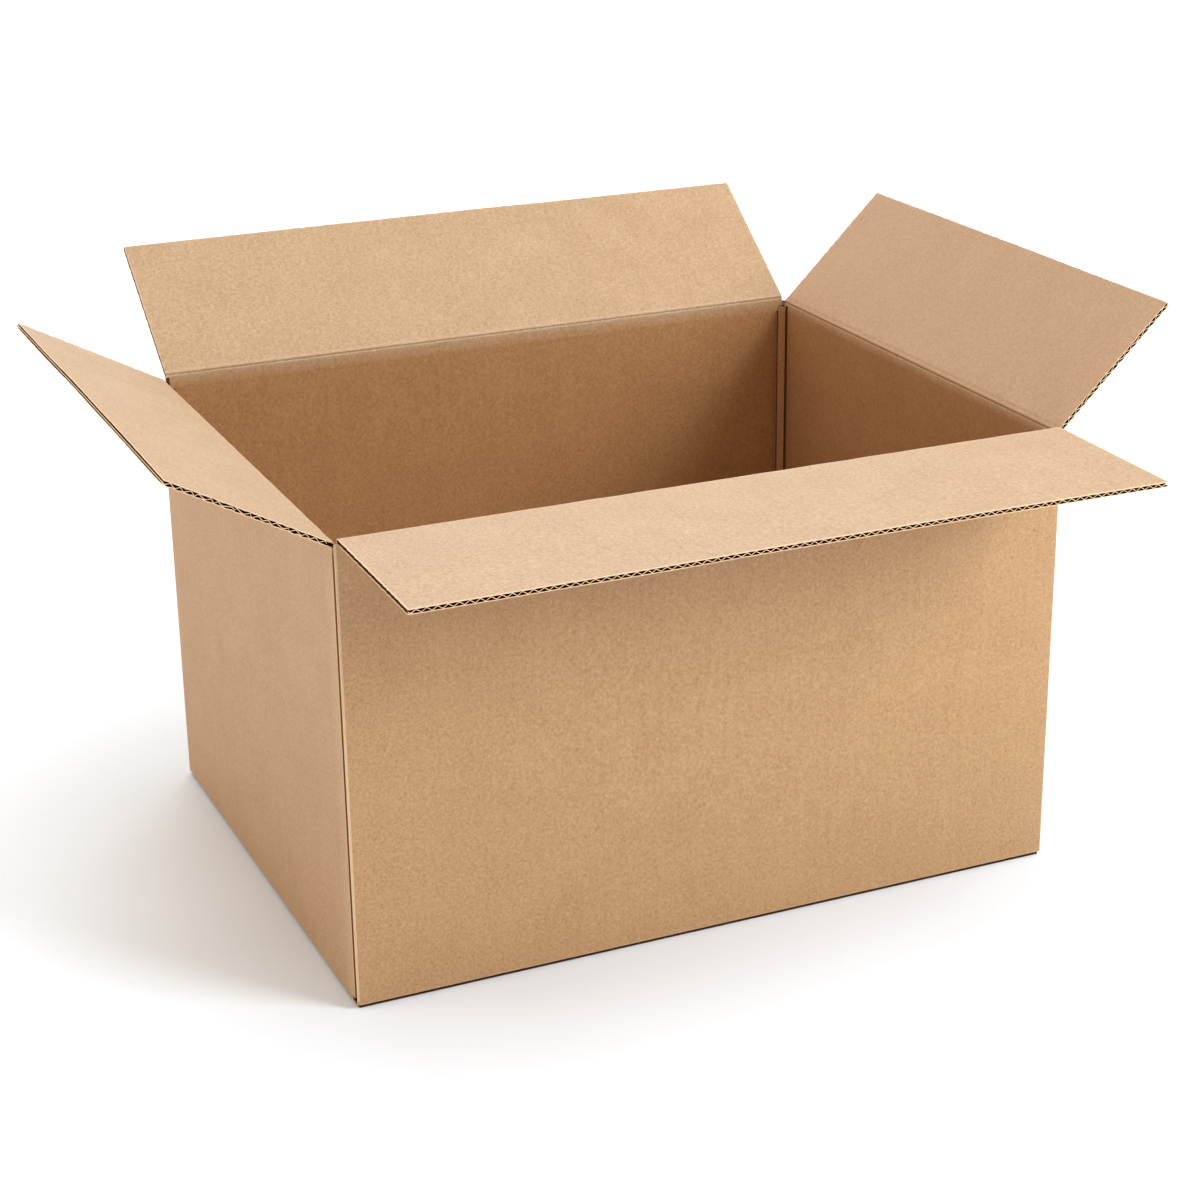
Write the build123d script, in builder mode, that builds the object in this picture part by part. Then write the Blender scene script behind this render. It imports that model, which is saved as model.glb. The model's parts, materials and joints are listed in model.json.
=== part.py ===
"""An open shipping box of corrugated board: one folded sheet with four top flaps on their scores.

Millimetres, +Z up. X runs along the front wall, Y from front to rear, and the origin is the middle of the
underside. The flaps stand open as they rest, and each one turns about its own score.
"""
import os
from math import atan2, ceil, cos, radians, sin, tan

from build123d import *

# the case, outside
case_length = 600.0
case_width = 466.0
case_height = 366.0  # underside to the scores of the end flaps

# the board: two liners with a wave of paper between them
board = 4.0
liner = 0.45
medium = 0.4
flute_pitch = 7.5

# the top flaps, from score to free edge, and how far each leans outward from upright
long_flap_depth = 144.0
end_flap_depth = 134.0
front_lean_angle = 91.0
rear_lean_angle = 53.5
left_lean_angle = 61.5
right_lean_angle = 46.0
flap_end_inset = 5.0  # from the outside of the case to a flap's end, half of the slot between two flaps

# the scores: crushed to a thin web, so that a flap can fold in flat and lean out past level
score_outer_angle = 24.0
score_inner_angle = 42.0
score_web = 0.15  # from the turning axis to the end of the board on either side
flap_clearance = 0.4  # between a closed end flap and the long flap over it
slot_land = 1.2  # how far the walls keep their full thickness above the cut between two corners
corner_clearance = 0.4  # between a corner and the end of the flap beside it

# the vertical folds
fold_radius = 3.0
fold_bead = 5.5
fold_groove_width = 1.2
fold_groove_depth = 1.8

# the glued joint at the front left corner, with the lap inside
lap_width = 36.0
lap_top_trim = 9.0
lap_foot_gap = 2.0
joint_lip = 0.8
joint_groove_land = 0.6  # how much deeper the groove is than the fold's radius
joint_foot = 5.0
joint_hole_radius = 1.7
joint_hole_depth = 9.0

# the bottom, folded shut and glued
bottom_fold_radius = 2.5
bottom_seam = 0.5

half_length = case_length / 2
half_width = case_width / 2
half_board = board / 2
long_wall_middle = half_width - half_board
end_wall_middle = half_length - half_board
outer_taper = half_board / tan(radians(score_outer_angle))
inner_taper = half_board / tan(radians(score_inner_angle))
web_outer = score_web * tan(radians(score_outer_angle))
web_inner = score_web * tan(radians(score_inner_angle))
end_score_height = case_height
long_score_height = case_height + board + flap_clearance
wall_height = end_score_height - outer_taper - slot_land
corner_height = end_score_height - half_board - corner_clearance
corner_size = flap_end_inset - corner_clearance

UP = Vector(0, 0, 1)
FRONT = Vector(0, -1, 0)
REAR = Vector(0, 1, 0)
LEFT = Vector(-1, 0, 0)
RIGHT = Vector(1, 0, 0)

# one hollow of the wave, standing on a liner with its point at the other
flute_height = board - 2 * liner
flute_slope = atan2(flute_height, flute_pitch / 2)
hollow_half_foot = flute_pitch / 2 - medium / 2 / sin(flute_slope)
hollow_point = flute_height / 2 - medium / 2 / cos(flute_slope)
hollow = [(-hollow_half_foot, -flute_height / 2), (hollow_half_foot, -flute_height / 2), (0, hollow_point)]
hollow_turned = [(hollow_half_foot, flute_height / 2), (-hollow_half_foot, flute_height / 2), (0, -hollow_point)]


def cut_flutes(first, last):
    """Cut the hollows of the wave from the open sketch, from the first one's middle until past the last place."""
    pitches = ceil((last - first) / flute_pitch)
    with Locations(*[(first + i * flute_pitch, 0) for i in range(pitches + 1)]):
        Polygon(*hollow, align=None, mode=Mode.SUBTRACT)
    with Locations(*[(first + i * flute_pitch + flute_pitch / 2, 0) for i in range(pitches + 1)]):
        Polygon(*hollow_turned, align=None, mode=Mode.SUBTRACT)


def flap_plane(score_middle, outward, lean):
    """A flap's own plane: x along its score, y from the score to the free edge, z out of its inner face."""
    reach = UP * cos(radians(lean)) + outward * sin(radians(lean))
    inner_face = UP * sin(radians(lean)) - outward * cos(radians(lean))
    return Plane(origin=score_middle, x_dir=reach.cross(inner_face), z_dir=inner_face)


def section_along(plane, half_span):
    """The plane across a score at one end of it: x from the score to the free edge, y out of the inner face."""
    return Plane(origin=plane.origin - plane.x_dir * half_span, x_dir=plane.y_dir, z_dir=plane.x_dir)


def long_flap(plane):
    """A front or rear flap. Its flutes run from the score to the free edge and show there as a row of hollows."""
    half_span = half_length - flap_end_inset
    panel_start = plane.origin + plane.y_dir * outer_taper
    with BuildPart() as flap:
        with BuildSketch(Plane(origin=panel_start, x_dir=plane.x_dir, z_dir=plane.y_dir)):
            Rectangle(2 * half_span, board)
            cut_flutes(-half_span, half_span)
        extrude(amount=long_flap_depth - outer_taper)
        with BuildSketch(section_along(plane, half_span)):
            Polygon(
                (score_web, -web_outer),
                (outer_taper, -half_board),
                (outer_taper, half_board),
                (inner_taper, half_board),
                (score_web, web_inner),
                align=None,
            )
        extrude(amount=2 * half_span)
    return flap


def end_flap(plane):
    """A left or right flap. Its flutes run along the score and show as hollows at both of its ends."""
    half_span = half_width - flap_end_inset
    with BuildPart() as flap:
        with BuildSketch(section_along(plane, half_span)):
            Polygon(
                (score_web, -web_outer),
                (outer_taper, -half_board),
                (end_flap_depth, -half_board),
                (end_flap_depth, half_board),
                (inner_taper, half_board),
                (score_web, web_inner),
                align=None,
            )
            cut_flutes(outer_taper + flute_pitch / 2, end_flap_depth)
        extrude(amount=2 * half_span)
    return flap


with BuildPart() as case_body:
    # the four walls, rounded at the vertical folds and along the bottom
    with BuildSketch():
        RectangleRounded(case_length, case_width, fold_radius)
    extrude(amount=corner_height)
    fillet(case_body.edges().group_by(Axis.Z)[0], bottom_fold_radius)

    # the room inside, with the bead of crushed board in three folded corners and a groove beside each bead
    room_x = half_length - board
    room_y = half_width - board
    with BuildSketch():
        Rectangle(2 * room_x, 2 * room_y)
        for side_x, side_y in ((1, 1), (-1, 1), (1, -1)):
            Polygon(
                (side_x * room_x, side_y * room_y),
                (side_x * (room_x - fold_bead), side_y * room_y),
                (side_x * room_x, side_y * (room_y - fold_bead)),
                align=None,
                mode=Mode.SUBTRACT,
            )
            beside_x = side_x * (room_x + fold_groove_depth / 2)
            beside_y = side_y * (room_y - fold_bead - fold_groove_width / 2)
            with Locations((beside_x, beside_y)):
                Rectangle(fold_groove_depth, fold_groove_width)
    extrude(amount=corner_height, mode=Mode.SUBTRACT)

    # between the corners the walls stop below the scores
    with BuildSketch(Plane.XY.offset(wall_height)):
        with Locations((0, -long_wall_middle), (0, long_wall_middle)):
            Rectangle(2 * (half_length - corner_size), board)
        with Locations((-end_wall_middle, 0), (end_wall_middle, 0)):
            Rectangle(board, 2 * (half_width - corner_size))
    extrude(amount=corner_height - wall_height, mode=Mode.SUBTRACT)

    # the bottom: the long flaps outside, meeting at the seam, and the end flaps on top of them
    bottom_half_length = half_length - flap_end_inset
    bottom_half_width = half_width - flap_end_inset
    bottom_reach = half_width - half_board - bottom_seam / 2
    for side_y in (-1, 1):
        with BuildSketch():
            with Locations((0, side_y * (bottom_seam / 2 + bottom_reach / 2))):
                Rectangle(2 * bottom_half_length, bottom_reach)
        extrude(amount=board)
    for side_x in (-1, 1):
        with BuildSketch(Plane.XY.offset(board)):
            with Locations((side_x * (half_length - half_board - bottom_reach / 2), 0)):
                Rectangle(bottom_reach, 2 * bottom_half_width)
        extrude(amount=board)

    # the wall tops, narrowing to the thin web of each score
    for outward, wall_middle, half_span, score_height in (
        (FRONT, long_wall_middle, half_length - flap_end_inset, long_score_height),
        (REAR, long_wall_middle, half_length - flap_end_inset, long_score_height),
        (LEFT, end_wall_middle, half_width - flap_end_inset, end_score_height),
        (RIGHT, end_wall_middle, half_width - flap_end_inset, end_score_height),
    ):
        score_line = UP.cross(outward)
        score_end = outward * wall_middle + UP * score_height - score_line * half_span
        with BuildSketch(Plane(origin=score_end, x_dir=-outward, z_dir=score_line)):
            Polygon(
                (-half_board, wall_height - score_height),
                (half_board, wall_height - score_height),
                (half_board, -inner_taper),
                (web_inner, -score_web),
                (-web_outer, -score_web),
                (-half_board, -outer_taper),
                align=None,
            )
        extrude(amount=2 * half_span)

    # the joint: the front panel's square cut edge, and the groove between its liner and the left wall's fold
    with BuildSketch(Plane.XY.offset(joint_foot)):
        with Locations((-half_length, -half_width)):
            Rectangle(board, board, align=(Align.MIN, Align.MIN))
    extrude(amount=corner_height - joint_foot)
    fold_y = -half_width + board
    groove_x = -half_length + fold_radius + joint_groove_land
    with BuildSketch(Plane.XY.offset(joint_foot)):
        with BuildLine():
            CenterArc((-half_length + fold_radius, fold_y + fold_radius), fold_radius, 180, 90)
            Polyline(
                (-half_length + fold_radius, fold_y),
                (groove_x, fold_y),
                (groove_x, -half_width + joint_lip),
                (-half_length, -half_width + joint_lip),
                (-half_length, fold_y + fold_radius),
            )
        make_face()
    extrude(amount=corner_height - joint_foot, mode=Mode.SUBTRACT)

    # the lap of the left wall, glued behind the front panel
    with BuildSketch(Plane.XY.offset(2 * board + lap_foot_gap)):
        with Locations((-room_x, -room_y)):
            Rectangle(lap_width, board, align=(Align.MIN, Align.MIN))
    extrude(amount=end_score_height - lap_top_trim - 2 * board - lap_foot_gap)

    # the small hole where the joint meets the bottom flaps
    hole_middle = (-half_length, -half_width + half_board + joint_lip, joint_foot)
    with BuildSketch(Plane(origin=hole_middle, z_dir=RIGHT)):
        Circle(joint_hole_radius)
    extrude(amount=joint_hole_depth, mode=Mode.SUBTRACT)
case_body.part.label = "case_body"

front_score = FRONT * long_wall_middle + UP * long_score_height
front_flap = long_flap(flap_plane(front_score, FRONT, front_lean_angle))
front_flap.part.label = "front_flap"

rear_score = REAR * long_wall_middle + UP * long_score_height
rear_flap = long_flap(flap_plane(rear_score, REAR, rear_lean_angle))
rear_flap.part.label = "rear_flap"

left_score = LEFT * end_wall_middle + UP * end_score_height
left_flap = end_flap(flap_plane(left_score, LEFT, left_lean_angle))
left_flap.part.label = "left_flap"

right_score = RIGHT * end_wall_middle + UP * end_score_height
right_flap = end_flap(flap_plane(right_score, RIGHT, right_lean_angle))
right_flap.part.label = "right_flap"

os.makedirs("parts", exist_ok=True)
export_step(case_body.part, "parts/case_body.step")
export_step(front_flap.part, "parts/front_flap.step")
export_step(rear_flap.part, "parts/rear_flap.step")
export_step(left_flap.part, "parts/left_flap.step")
export_step(right_flap.part, "parts/right_flap.step")
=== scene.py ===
"""The looks of an open corrugated box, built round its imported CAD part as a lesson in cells.

Metres, +Z up. X runs along the front wall and Y from front to rear, from the middle of the underside.
"""

# %% [markdown]
# # An open corrugated box
# The box is one folded sheet of board: two liners of brown paper with a wave of paper glued between them.
# The CAD part gives its size, its four turning scores and its collision. Here each sheet is built again as
# the paper it is made of, so that the cut edges show liner, wave and liner. Nearly every piece is a grid of
# points worked out from two directions, so one small function can close them all.
# The walls and the corner posts are closed lines that are carried upwards.

import json
from math import radians

import bpy
import numpy as np
from mathutils import Matrix, Vector
from mathutils.geometry import tessellate_polygon


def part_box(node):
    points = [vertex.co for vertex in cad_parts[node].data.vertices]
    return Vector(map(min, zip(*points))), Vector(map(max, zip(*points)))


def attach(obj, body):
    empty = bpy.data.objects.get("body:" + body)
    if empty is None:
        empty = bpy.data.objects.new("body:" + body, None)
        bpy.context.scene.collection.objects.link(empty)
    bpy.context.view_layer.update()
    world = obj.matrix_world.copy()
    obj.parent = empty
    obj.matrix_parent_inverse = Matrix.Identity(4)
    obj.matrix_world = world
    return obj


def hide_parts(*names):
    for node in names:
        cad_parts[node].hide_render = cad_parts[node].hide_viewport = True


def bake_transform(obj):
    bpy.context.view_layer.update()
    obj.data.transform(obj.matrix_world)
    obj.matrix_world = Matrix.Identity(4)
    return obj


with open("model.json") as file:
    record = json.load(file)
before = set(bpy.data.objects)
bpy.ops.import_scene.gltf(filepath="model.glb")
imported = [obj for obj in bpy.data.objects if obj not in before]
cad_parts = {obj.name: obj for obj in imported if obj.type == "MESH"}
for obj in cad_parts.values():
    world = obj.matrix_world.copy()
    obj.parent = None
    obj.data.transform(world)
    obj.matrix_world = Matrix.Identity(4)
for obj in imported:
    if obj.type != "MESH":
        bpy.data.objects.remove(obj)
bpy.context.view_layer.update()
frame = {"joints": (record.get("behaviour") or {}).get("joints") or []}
case_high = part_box("case_body")[1]
joints = {joint["child"]: joint for joint in frame["joints"]}
mm = 0.001

# %% [markdown]
# ## The camera
# The photograph is taken from the front left, a little above the flaps, with a long lens. Its place was
# fitted to the box's corners and outline: the numbers are metres, degrees, and the focal length in picture
# widths. A matrix of turns is set at once, because it keeps the order of yaw, pitch and roll plain to read.

# %% The camera
camera_place = (-0.80669, -1.84466, 0.97161)
camera_yaw, camera_pitch, camera_roll = -23.726, 21.051, 0.752
focal_widths = 2.1398
sensor = 36.0
nearest, farthest = 0.05, 500.0

camera_data = bpy.data.cameras.new("camera")
camera_data.sensor_width = sensor
camera_data.lens = sensor * focal_widths
camera_data.clip_start, camera_data.clip_end = nearest, farthest
camera = bpy.data.objects.new("camera", camera_data)
bpy.context.scene.collection.objects.link(camera)
turn = Matrix.Rotation(radians(camera_yaw), 4, "Z") @ Matrix.Rotation(radians(-camera_pitch), 4, "X")
turn = turn @ Matrix.Rotation(radians(camera_roll), 4, "Y") @ Matrix.Rotation(radians(90), 4, "X")
camera.matrix_world = Matrix.Translation(camera_place) @ turn
bpy.context.scene.camera = camera
print("camera lens", round(camera_data.lens, 2), "mm")

# %% [markdown]
# ## A closed sheet
# A sheet of paper has a front, a back and a rim. A Solidify modifier could give a grid its thickness, but
# then front, back and rim couldn't differ in shape. So most pieces below hand two equal grids of points to
# `closed_sheet`, which sews them together.


# %% A closed sheet
def grid_faces(rows, columns):
    """The quads between neighbours in a grid of points that is numbered row by row."""
    first = (np.arange(rows - 1)[:, None] * columns + np.arange(columns - 1)).ravel()
    return np.stack([first, first + 1, first + columns + 1, first + columns], 1)


def closed_sheet(front, back):
    """A closed skin from two equal grids: the front, the back turned round, and a rim along their borders.
    Gives points, quads, and for each quad 0 for front, 1 for back or 2 for rim."""
    rows, columns = front.shape[:2]
    number = np.arange(rows * columns).reshape(rows, columns)
    border = np.concatenate([number[0, :-1], number[:-1, -1], number[-1, :0:-1], number[:0:-1, 0]])
    after = np.roll(border, -1)
    side = grid_faces(rows, columns)
    rim = np.stack([after, border, border + number.size, after + number.size], 1)
    points = np.concatenate([front.reshape(-1, 3), back.reshape(-1, 3)])
    quads = np.concatenate([side, side[:, ::-1] + number.size, rim])
    return points, quads, np.repeat([0, 1, 2], [len(side), len(side), len(rim)])


trial = closed_sheet(np.zeros((3, 4, 3)), np.ones((3, 4, 3)))
print("a sheet of 3 by 4 points has", len(trial[1]), "quads")

# %% [markdown]
# ## From points to a piece
# `make_piece` puts the points and faces into a mesh with its papers. Three attributes go with the points:
# how bare the paper is, together with painted highlights and painted light in open hollows, how much painted
# shade it gets, mostly by how deep down inside the box it lies, and where it was on the flat sheet before
# folding.


# %% From points to a piece
def make_piece(name, points, faces, materials, pick=None, wear_and_painted_light=None, painted_shade=None, sheet=None, sharp=35.0):
    """A mesh object from points and faces, turned to face outwards by the sign of its volume. The first
    attribute is how bare each point is, with painted highlights and painted light, the second how much
    painted shade it gets, and sheet where it lies on the flat paper, in metres."""
    triangles = np.array([(f[0], f[i], f[i + 1]) for f in faces for i in range(1, len(f) - 1)])
    a, b, c = points[triangles[:, 0]], points[triangles[:, 1]], points[triangles[:, 2]]
    if np.einsum("ij,ij->i", a, np.cross(b, c)).sum() < 0:
        faces = [list(f)[::-1] for f in faces]
    mesh = bpy.data.meshes.new(name)
    mesh.from_pydata(points.tolist(), [], [list(map(int, f)) for f in faces])
    for material in materials:
        mesh.materials.append(material)
    if pick is not None:
        mesh.polygons.foreach_set("material_index", np.asarray(pick, np.int32))
    mesh.polygons.foreach_set("use_smooth", np.ones(len(faces), bool))
    mesh.set_sharp_from_angle(angle=radians(sharp))
    for title, values in (("wear_and_painted_light", wear_and_painted_light), ("painted_shade", painted_shade)):
        values = np.zeros(len(points)) if values is None else values
        attribute = mesh.attributes.new(title, "FLOAT", "POINT")
        attribute.data.foreach_set("value", np.asarray(values, np.float32).ravel())
    sheet = points if sheet is None else sheet
    attribute = mesh.attributes.new("sheet", "FLOAT_VECTOR", "POINT")
    attribute.data.foreach_set("vector", np.asarray(sheet, np.float32).ravel())
    mesh.update()
    piece = bpy.data.objects.new(name, mesh)
    bpy.context.scene.collection.objects.link(piece)
    print(name, len(points), "points", len(triangles), "triangles")
    return piece


# %% [markdown]
# ## Small unevenness
# No knife cut or fold in paper is quite straight. A few sines of unlike lengths, added up, wander as such
# an edge does. They are worked out for whole arrays at once, and a seed makes each edge the same in every
# run.

# %% Small unevenness
sine_count, shortest, longest = 5, 0.6, 1.8
usual_sum = 2.6  # what the sum of the sines seldom passes


def drift(along, length, seed):
    """A smooth random line between about -1 and 1: a sum of sines of roughly the given length, with seeded
    lengths and phases."""
    dice = np.random.default_rng(seed)
    lengths = length * dice.uniform(shortest, longest, sine_count)
    phases = dice.uniform(0, 2 * np.pi, sine_count)
    return np.sin(2 * np.pi * np.asarray(along)[..., None] / lengths + phases).sum(-1) / usual_sum


trial = drift(np.linspace(0, 1, 99), 100 * mm, 1)
print("a drift over a metre goes from", round(trial.min(), 2), "to", round(trial.max(), 2))

# %% [markdown]
# ## Colours and nodes
# Colours are written as on a screen, in sRGB, while a shader works with linear light, so one function turns
# them. Another adds one node with its settings and its links, which keeps a material's recipe short.


# %% Colours and nodes
def tone(code):
    """An sRGB hex colour as the linear colour that a shader socket takes."""
    srgb = np.array([int(code[i : i + 2], 16) for i in (1, 3, 5)]) / 255
    linear = np.where(srgb <= 0.04045, srgb / 12.92, ((srgb + 0.055) / 1.055) ** 2.4)
    return (*linear.tolist(), 1.0)


def add(tree, kind, inputs=None, **settings):
    """One shader node with its settings; an input is a plain value or another node's output."""
    node = tree.nodes.new("ShaderNode" + kind)
    for key, value in settings.items():
        setattr(node, key, value)
    for socket, value in (inputs or {}).items():
        if isinstance(value, bpy.types.NodeSocket):
            tree.links.new(value, node.inputs[socket])
        else:
            node.inputs[socket].default_value = value
    return node


print("half grey in linear light", round(tone("#808080")[0], 3))

# %% [markdown]
# ## Kraft paper
# Liner paper is made from long wood fibres that settle in clouds while the sheet is still wet, so its brown
# is never even: soft clouds a few centimetres wide, faint streaks along the machine's direction, a felt of
# short curled fibres and a few dark flecks. Real fibres are too fine to show, so they are drawn about two
# millimetres wide. The same patterns, a tenth of a millimetre deep, give the sheet a dry matt face. Where
# it is cut or folded the pale inside of the sheet shows, and the same attribute also paints highlights on
# edges and light into open hollows. A second attribute paints shade, by a darker pair of browns.

# %% Kraft paper
cloud_size, streak_length, streak_width = 40 * mm, 120 * mm, 5 * mm
mottle_size, curl_size, fleck_size = 2.4 * mm, 1.7 * mm, 2.6 * mm
cloud_share, streak_share, mottle_share, curl_share = 0.4, 0.25, 1.55, 1.6
pattern_base = -1.4  # brings the sum of the four patterns back round a half
fleck_start, fleck_full, fleck_strength = 0.71, 0.77, 0.3
grain_depth, grain_strength = 0.12 * mm, 0.3
paper_roughness, sheen_roughness = 0.6, 0.5


def kraft_paper(name, open_browns, painted_shade_browns, bare, gloss=0.5, sheen=0.05):
    """Brown liner paper. Each pair of browns is dark and light; the shade attribute goes from the first pair
    to the second, a painted shade, and the wear attribute to the bare inside of the sheet, which is wear and
    also painted highlight and light."""
    material = bpy.data.materials.new(name)
    material.use_nodes = True
    tree = material.node_tree
    spot = add(tree, "TexCoord").outputs["Object"]
    sheet = add(tree, "Attribute", attribute_name="sheet").outputs["Vector"]
    long_way = (1 / streak_length, 1 / streak_width, 1 / streak_width)
    sheet = add(tree, "Mapping", {"Vector": sheet, "Scale": long_way}).outputs[0]
    clouds = {"Vector": spot, "Scale": 1 / cloud_size, "Detail": 3.0, "Roughness": 0.55}
    streaks = {"Vector": sheet, "Scale": 1.0, "Detail": 2.0}
    mottle = {"Vector": spot, "Scale": 1 / mottle_size, "Detail": 3.0, "Roughness": 0.6}
    curls = {"Vector": spot, "Scale": 1 / curl_size, "Detail": 2.0, "Distortion": 1.6}
    patterns = [add(tree, "TexNoise", each).outputs["Fac"] for each in (clouds, streaks, mottle, curls)]
    mix = pattern_base
    for pattern, share in zip(patterns, (cloud_share, streak_share, mottle_share, curl_share)):
        mix = add(tree, "Math", {0: pattern, 1: share, 2: mix}, operation="MULTIPLY_ADD").outputs[0]
    mix = add(tree, "Clamp", {0: mix}).outputs[0]
    pairs = [{0: mix, 6: tone(dark), 7: tone(light)} for dark, light in (open_browns, painted_shade_browns)]
    browns = [add(tree, "Mix", pair, data_type="RGBA").outputs[2] for pair in pairs]
    # painted shade: the darker browns where the shade attribute is high
    painted_shade = add(tree, "Attribute", attribute_name="painted_shade").outputs["Fac"]
    shaded_brown = add(tree, "Mix", {0: painted_shade, 6: browns[0], 7: browns[1]}, data_type="RGBA").outputs[2]
    fleck = add(tree, "TexNoise", {"Vector": spot, "Scale": 1 / fleck_size, "Detail": 1.0}).outputs["Fac"]
    flecked = {0: fleck, 1: fleck_start, 2: fleck_full, 3: 0.0, 4: fleck_strength}
    fleck = add(tree, "MapRange", flecked).outputs[0]
    shaded_brown = add(tree, "Mix", {0: fleck, 6: shaded_brown, 7: tone("#7A5230")}, data_type="RGBA").outputs[2]
    wear_and_painted_light = add(tree, "Attribute", attribute_name="wear_and_painted_light").outputs["Fac"]
    colour = add(tree, "Mix", {0: wear_and_painted_light, 6: shaded_brown, 7: tone(bare)}, data_type="RGBA").outputs[2]
    height = add(tree, "Math", {0: patterns[2], 1: patterns[3]}, operation="ADD").outputs[0]
    grain = add(tree, "Bump", {"Height": height, "Strength": grain_strength, "Distance": grain_depth})
    shader = tree.nodes["Principled BSDF"]
    tree.links.new(colour, shader.inputs["Base Color"])
    tree.links.new(grain.outputs[0], shader.inputs["Normal"])
    shader.inputs["Roughness"].default_value = paper_roughness
    shader.inputs["Specular IOR Level"].default_value = gloss
    shader.inputs["Sheen Weight"].default_value = sheen
    shader.inputs["Sheen Roughness"].default_value = sheen_roughness
    return material


print("fibres drawn", round(curl_size / mm, 1), "to", round(mottle_size / mm, 1), "mm wide")

# %% [markdown]
# ## The four papers
# One recipe gives them all, because they are the same pulp. The outer liner has the plain brown of new
# board. The inner liner is paler and less saturated on the open flaps, a painted sheen, and a deeper brown
# down inside, a painted shade where light hardly comes. The cut edge is torn fibres, paler than the faces.
# The paper inside the flutes and slots is nearly black, a painted shade for the little light there, and
# brown where the wear attribute paints light into an open hollow. It has no gloss.

# %% The four papers
outer_pair = ("#9E7448", "#BE976A")
outer_liner = kraft_paper("kraft_outer_liner", outer_pair, outer_pair, "#D9BF9A")
# painted sheen for the open flaps, and painted shade for down inside
painted_sheen_pair, painted_shade_pair = ("#9E7C57", "#C0A17D"), ("#96683A", "#B58756")
inner_liner = kraft_paper("kraft_inner_liner", painted_sheen_pair, painted_shade_pair, "#DCC4A2")
pale_pair = ("#D2A87C", "#EBC9A2")
cut_paper = kraft_paper("kraft_cut_edge", pale_pair, pale_pair, "#EBC9A2", gloss=0.1, sheen=0.0)
# painted shade: near-black paper wherever the board lies in shade
dark_pair = ("#140C07", "#2C1B10")
painted_shade_paper = kraft_paper("kraft_painted_shade", dark_pair, dark_pair, "#96623A", gloss=0.0, sheen=0.0)
print("materials", [m.name for m in (outer_liner, inner_liner, cut_paper, painted_shade_paper)])

# %% [markdown]
# ## The board's sizes
# The part's own sizes in millimetres, as the flutes, scores and folds need them. Liner and wave are drawn a
# little thicker than paper really is, because a real one is thinner than a pixel at the photograph's
# distance. The bead is the rounded strip of crushed board inside a folded corner, with an open gap beside
# it.

# %% The board's sizes
board = 4.0 * mm
half_board = board / 2
liner = 0.45 * mm
medium = 0.48 * mm
flute_pitch = 7.5 * mm
open_lean = 128.0  # how far any flap leans out at the end of its travel, in degrees
score_reach = 6.0 * mm  # how far the crushed board reaches from a score
end_flap_inset = 5.0 * mm  # the end flaps fold in between the long walls
front_flap_inset = 3.1 * mm  # the front flap reaches nearly to the corners
rear_flap_inset = 5.0 * mm
long_depth, end_depth = 144.0 * mm, 134.0 * mm
wall_top = 359.0 * mm
post_top = 363.6 * mm
bead, bead_bulge, bead_step = 5.5 * mm, 0.45 * mm, 0.5 * mm
groove_width, groove_depth = 3.2 * mm, 2.2 * mm
gap_near = bead + board - end_flap_inset  # from the end of an end wall's score to the gap beside the bead
gap_far = gap_near + groove_width
half_length, half_width = case_high[0], case_high[1]
room_x, room_y = half_length - board, half_width - board
print("half length", round(half_length, 4), "half width", round(half_width, 4))

# %% [markdown]
# ## A flap's own directions
# Each flap is drawn in its own frame: along the score, out from the score, and up from its inner face. The
# frame comes from the joint, and the lean from what is left of its travel, so the sheet lies on the CAD
# flap.


# %% A flap's own directions
def flap_frame(name, depth):
    """Origin, directions, half span, depth and lean of a flap, from its joint."""
    joint = joints[name]
    origin = np.array(joint["pos_m"], float)
    outward = np.array([np.sign(origin[0]), np.sign(origin[1]), 0.0])
    up = np.array([0.0, 0.0, 1.0])
    lean = radians(open_lean - joint["range_deg"][1])
    reach = up * np.cos(lean) + outward * np.sin(lean)
    normal = up * np.sin(lean) - outward * np.cos(lean)
    along = np.cross(reach, normal)
    long_inset = front_flap_inset if outward[1] < 0 else rear_flap_inset
    half_span = half_length - long_inset if outward[1] else half_width - end_flap_inset
    return {"name": name, "origin": origin, "outward": outward, "up": up, "lean": lean, "reach": reach,
            "normal": normal, "along": along, "half_span": half_span, "depth": depth}


def place(flap, u, v, w):
    """Points of a flap: its origin plus u along the score, v out from it and w up from the board's
    middle."""
    u, v, w = np.broadcast_arrays(u, v, w)
    along = u[..., None] * flap["along"] + v[..., None] * flap["reach"] + w[..., None] * flap["normal"]
    return flap["origin"] + along


depths = {"front_flap": long_depth, "rear_flap": long_depth, "left_flap": end_depth, "right_flap": end_depth}
flaps = {name: flap_frame(name, depths[name]) for name in joints}
print("leans", {name: round(np.degrees(flap["lean"]), 1) for name, flap in flaps.items()})

# %% [markdown]
# ## How worn each flap is, and its painted light and shade
# Every flap has been handled differently. Its rim and its inner face can be bare, and its rim is lighter
# by a painted highlight too. Its side cuts get more or less painted light in their flutes, and its inner
# paper a share of the darker browns of painted shade. Four shares for each flap say so.

# %% How worn each flap is, with painted light and shade
flap_wear_and_light = {
    "front_flap": {"rim_worn": 0.75, "face_worn": 0.0, "side_painted_light": 0.4, "shaded_brown": 0.0},
    "rear_flap": {"rim_worn": 0.35, "face_worn": 0.0, "side_painted_light": 0.2, "shaded_brown": 0.0},
    "left_flap": {"rim_worn": 0.7, "face_worn": 0.0, "side_painted_light": 0.4, "shaded_brown": 0.0},
    "right_flap": {"rim_worn": 0.2, "face_worn": 0.15, "side_painted_light": 0.4, "shaded_brown": 0.6},
}
for name, flap in flaps.items():
    flap.update(flap_wear_and_light[name])
print("bare rims", {name: flap["rim_worn"] for name, flap in flaps.items()})

# %% [markdown]
# ## How a flap bends
# Board that has been folded and opened bows by less than a millimetre, and its free corners get knocked.
# Both are small, but they break up the light on a flap, so they are functions that the liners and the wave
# share.

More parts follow.
